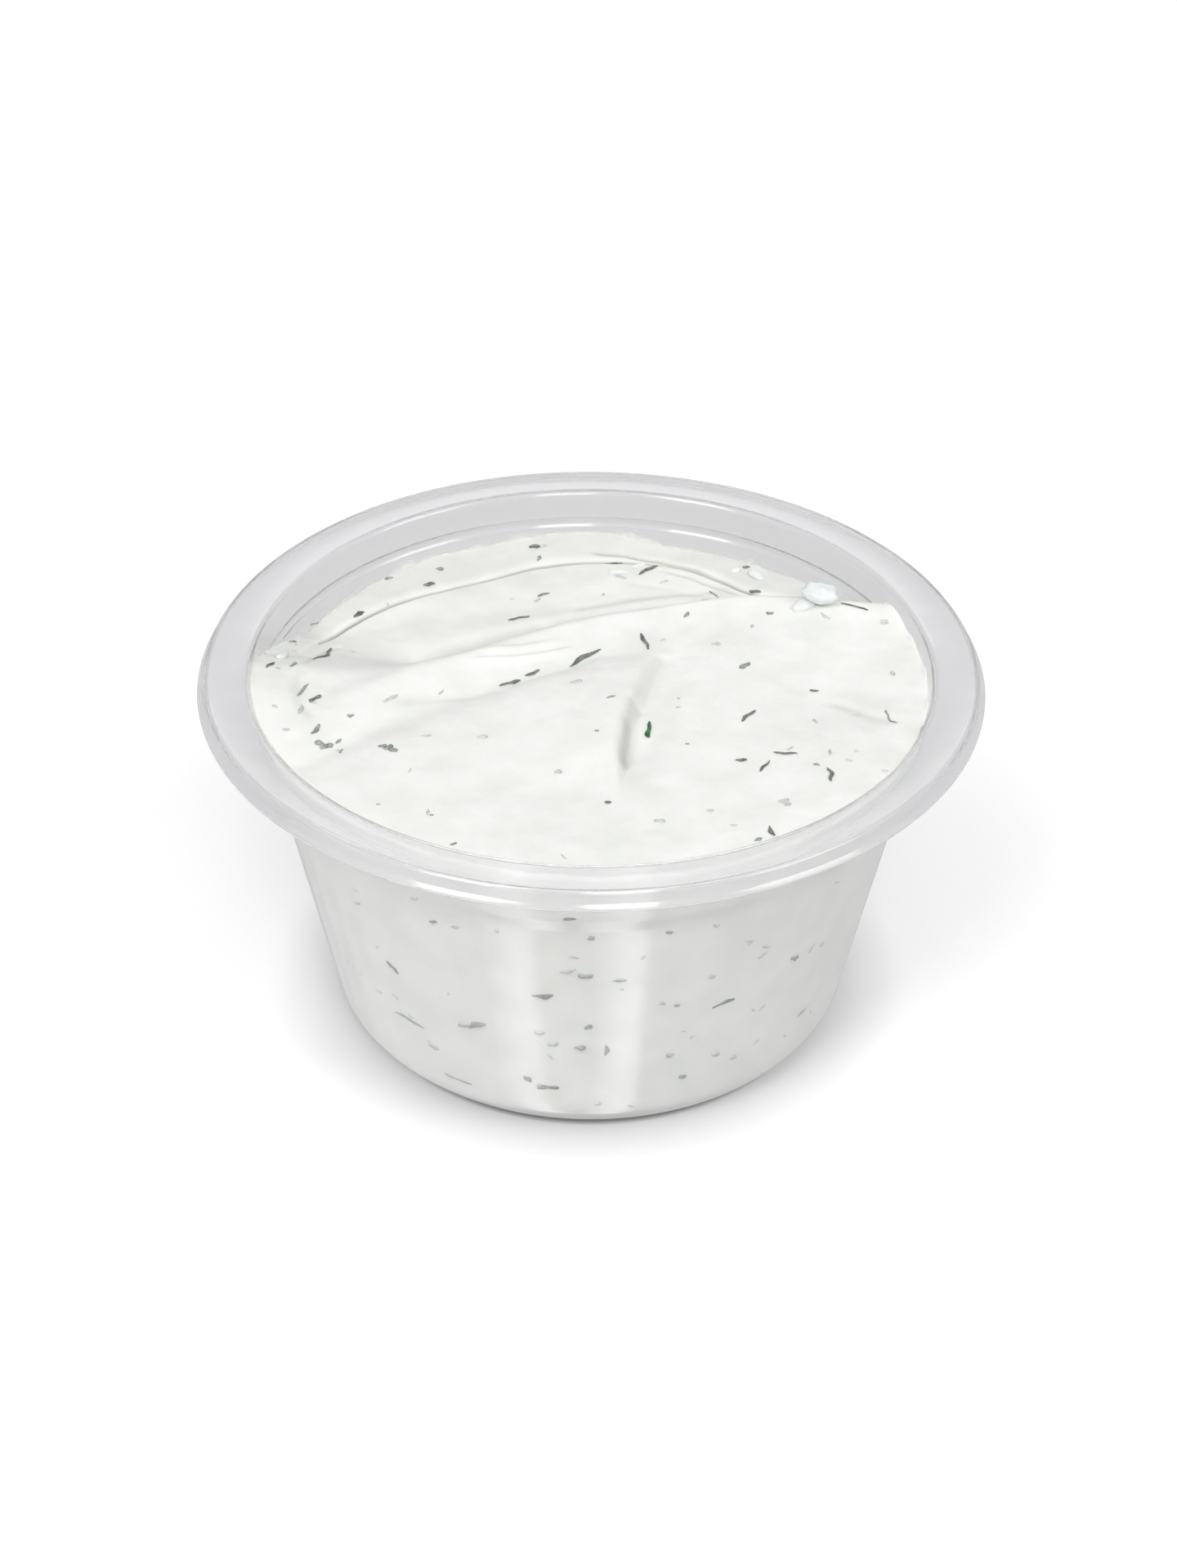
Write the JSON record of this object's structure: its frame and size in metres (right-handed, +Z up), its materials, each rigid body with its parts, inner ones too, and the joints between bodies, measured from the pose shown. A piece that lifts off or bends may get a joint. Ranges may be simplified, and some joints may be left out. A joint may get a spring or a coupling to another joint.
{
  "type": "tzatziki dip in a clear plastic pot",
  "caption": "White cucumber and yoghurt dip with flecks of dill, filling a round clear plastic pot with a wide flange, its lid off.",
  "frame": {"origin": "centre of the pot's foot, on the surface it stands on", "axes": "+Z up out of the pot's mouth, +Y to the back, where the dip is scooped low against the wall"},
  "size_m": [0.095, 0.095, 0.0475],
  "materials": {
    "clear_plastic": "clear, glossy formed sheet",
    "dip": "moist, soft sheen"
  },
  "bodies": {
    "root": {"pot": "clear_plastic", "tzatziki": "dip"}
  },
  "joints": []
}
